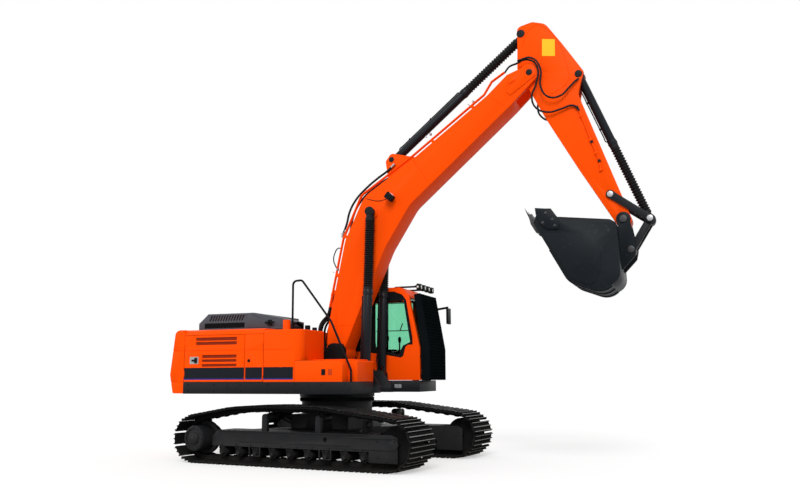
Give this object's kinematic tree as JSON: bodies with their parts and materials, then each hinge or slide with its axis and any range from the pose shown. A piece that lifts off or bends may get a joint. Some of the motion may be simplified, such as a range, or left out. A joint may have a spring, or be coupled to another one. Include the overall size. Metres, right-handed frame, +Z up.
{
  "type": "crawler excavator",
  "caption": "Crawler excavator with a raised one-piece boom, hanging arm, curled bucket, guarded cab and wide steel tracks.",
  "frame": {"origin": "on the ground, in the middle of the machine's bounding box seen from above", "axes": "+X forward along the boom, +Y towards the cab's side (left), +Z up"},
  "size_m": [8.1746, 3.7178, 7.1929],
  "materials": {
    "orange_paint": "satin",
    "dark_paint": "satin",
    "hood_paint": "satin",
    "track_steel": "matte",
    "bucket_paint": "satin",
    "rubber_black": "matte",
    "tinted_glass": "gloss",
    "black_plastic": "matte",
    "seat_fabric": "matte",
    "cylinder_paint": "satin",
    "rod_chrome": "gloss"
  },
  "bodies": {
    "undercarriage": {"carbody": "dark_paint", "swing_bearing": "dark_paint", "track_frame_right": "dark_paint", "track_frame_left": "dark_paint", "track_right": "track_steel", "track_left": "track_steel", "final_drives": "dark_paint", "idlers": "track_steel", "track_rollers": "track_steel", "carrier_rollers": "track_steel"},
    "upper": {"upper_frame": "dark_paint", "counterweight": "orange_paint", "engine": "track_steel", "body_housing": "orange_paint", "fuel_tank": "orange_paint", "toolbox": "orange_paint", "deck_fittings": "black_plastic", "handrail": "dark_paint", "cab_shell": "orange_paint", "cab_glass": "tinted_glass", "windscreen": "tinted_glass", "cab_guard": "dark_paint", "cab_fittings": "black_plastic", "mirrors": "black_plastic", "operator_seat": "seat_fabric", "cab_consoles": "black_plastic"},
    "cab_door": {"cab_door": "orange_paint", "cab_door_glass": "tinted_glass"},
    "right_rear_door": {"right_rear_door": "orange_paint"},
    "right_front_door": {"right_front_door": "orange_paint"},
    "left_rear_door": {"left_rear_door": "orange_paint"},
    "left_front_door": {"left_front_door": "orange_paint"},
    "engine_hood": {"engine_hood": "hood_paint"},
    "toolbox_lid": {"toolbox_lid": "orange_paint"},
    "boom": {"boom": "orange_paint", "boom_pipes": "orange_paint", "boom_lamp": "black_plastic"},
    "arm": {"arm": "orange_paint"},
    "bucket": {"bucket": "bucket_paint"},
    "idler_links": {"idler_links": "dark_paint"},
    "push_link": {"push_link": "dark_paint"},
    "boom_ram_barrel": {"boom_ram_barrel": "cylinder_paint"},
    "boom_ram_rod": {"boom_ram_rod": "rod_chrome", "boom_ram_bellows": "rubber_black"},
    "arm_ram_barrel": {"arm_ram_barrel": "cylinder_paint"},
    "arm_ram_rod": {"arm_ram_rod": "rod_chrome", "arm_ram_bellows": "rubber_black"},
    "bucket_ram_barrel": {"bucket_ram_barrel": "cylinder_paint"},
    "bucket_ram_rod": {"bucket_ram_rod": "rod_chrome", "bucket_ram_bellows": "rubber_black"}
  },
  "joints": [
    {"name": "swing", "type": "hinge", "parent": "undercarriage", "child": "upper", "pos_m": [-1.287, 0, 1.045], "axis": [0, 0, 1], "continuous": true},
    {"name": "cab_door_hinge", "type": "hinge", "parent": "upper", "child": "cab_door", "pos_m": [-1.457, 1.365, 2], "axis": [0, 0, 1], "range_deg": [0, 150]},
    {"name": "right_rear_door_hinge", "type": "hinge", "parent": "upper", "child": "right_rear_door", "pos_m": [-3.462, -1.355, 1.7], "axis": [0, 0, -1], "range_deg": [0, 110]},
    {"name": "right_front_door_hinge", "type": "hinge", "parent": "upper", "child": "right_front_door", "pos_m": [-1.977, -1.355, 1.7], "axis": [0, 0, 1], "range_deg": [0, 110]},
    {"name": "left_rear_door_hinge", "type": "hinge", "parent": "upper", "child": "left_rear_door", "pos_m": [-3.462, 1.355, 1.7], "axis": [0, 0, 1], "range_deg": [0, 110]},
    {"name": "left_front_door_hinge", "type": "hinge", "parent": "upper", "child": "left_front_door", "pos_m": [-2.567, 1.355, 1.7], "axis": [0, 0, 1], "range_deg": [0, 110]},
    {"name": "engine_hood_hinge", "type": "hinge", "parent": "upper", "child": "engine_hood", "pos_m": [-1.687, -0.1, 2.275], "axis": [0, 1, 0], "range_deg": [0, 55]},
    {"name": "toolbox_lid_hinge", "type": "hinge", "parent": "upper", "child": "toolbox_lid", "pos_m": [-0.877, -0.4945, 1.6408], "axis": [-1, 0, 0], "range_deg": [0, 85]},
    {"name": "boom_lift", "type": "hinge", "parent": "upper", "child": "boom", "pos_m": [-1.227, 0, 1.775], "axis": [0, 1, 0], "range_deg": [-3.5, 98]},
    {"name": "arm_swing", "type": "hinge", "parent": "boom", "child": "arm", "pos_m": [2.23899, 0, 6.30014], "axis": [0, -1, 0], "range_deg": [-38, 82]},
    {"name": "bucket_curl", "type": "hinge", "parent": "arm", "child": "bucket", "pos_m": [3.6183, 0, 3.74916], "axis": [0, -1, 0], "range_deg": [-10, 165]},
    {"name": "boom_ram_pivot", "type": "hinge", "parent": "upper", "child": "boom_ram_barrel", "pos_m": [-0.61, 0, 1.4], "axis": [0, 1, 0], "range_deg": [-3.72, 103.95]},
    {"name": "boom_ram_stroke", "type": "slide", "parent": "boom_ram_barrel", "child": "boom_ram_rod", "axis": [0.0299, 0, 0.9996], "range_m": [-1.0508, 0.0377], "deforming": ["boom_ram_bellows"]},
    {"name": "arm_ram_pivot", "type": "hinge", "parent": "boom", "child": "arm_ram_barrel", "pos_m": [-0.22871, 0, 5.09786], "axis": [0, -1, 0], "range_deg": [-1.2, 2.58]},
    {"name": "arm_ram_stroke", "type": "slide", "parent": "arm_ram_barrel", "child": "arm_ram_rod", "axis": [0.7713, 0, 0.6365], "range_m": [-0.9003, 0.4173], "deforming": ["arm_ram_bellows"]},
    {"name": "bucket_ram_pivot", "type": "hinge", "parent": "arm", "child": "bucket_ram_barrel", "pos_m": [3.02313, 0, 6.1955], "axis": [0, -1, 0], "range_deg": [-0.58, 9.49]},
    {"name": "bucket_ram_stroke", "type": "slide", "parent": "bucket_ram_barrel", "child": "bucket_ram_rod", "axis": [0.3731, 0, -0.9278], "range_m": [-1.1275, 0.0685], "deforming": ["bucket_ram_bellows"]},
    {"name": "idler_link_pivot", "type": "hinge", "parent": "arm", "child": "idler_links", "pos_m": [3.43546, 0, 4.163], "axis": [0, -1, 0], "range_deg": [-6.57, 108.3]},
    {"name": "push_link_pivot", "type": "hinge", "parent": "idler_links", "child": "push_link", "pos_m": [4.00911, 0, 3.74334], "axis": [0, -1, 0], "range_deg": [-65.53, 3.98]}
  ],
  "couplings": [
    {"joint": "boom_ram_pivot", "follows": "boom_lift", "ratio": 1.0606},
    {"joint": "boom_ram_stroke", "follows": "boom_lift", "m_per_rad": -0.61424},
    {"joint": "arm_ram_pivot", "follows": "arm_swing", "ratio": 0.03137},
    {"joint": "arm_ram_stroke", "follows": "arm_swing", "m_per_rad": -0.62894},
    {"joint": "bucket_ram_pivot", "follows": "bucket_curl", "ratio": 0.05743},
    {"joint": "bucket_ram_stroke", "follows": "bucket_curl", "m_per_rad": -0.39144},
    {"joint": "idler_link_pivot", "follows": "bucket_curl", "ratio": 0.6563},
    {"joint": "push_link_pivot", "follows": "bucket_curl", "ratio": -0.3971}
  ]
}
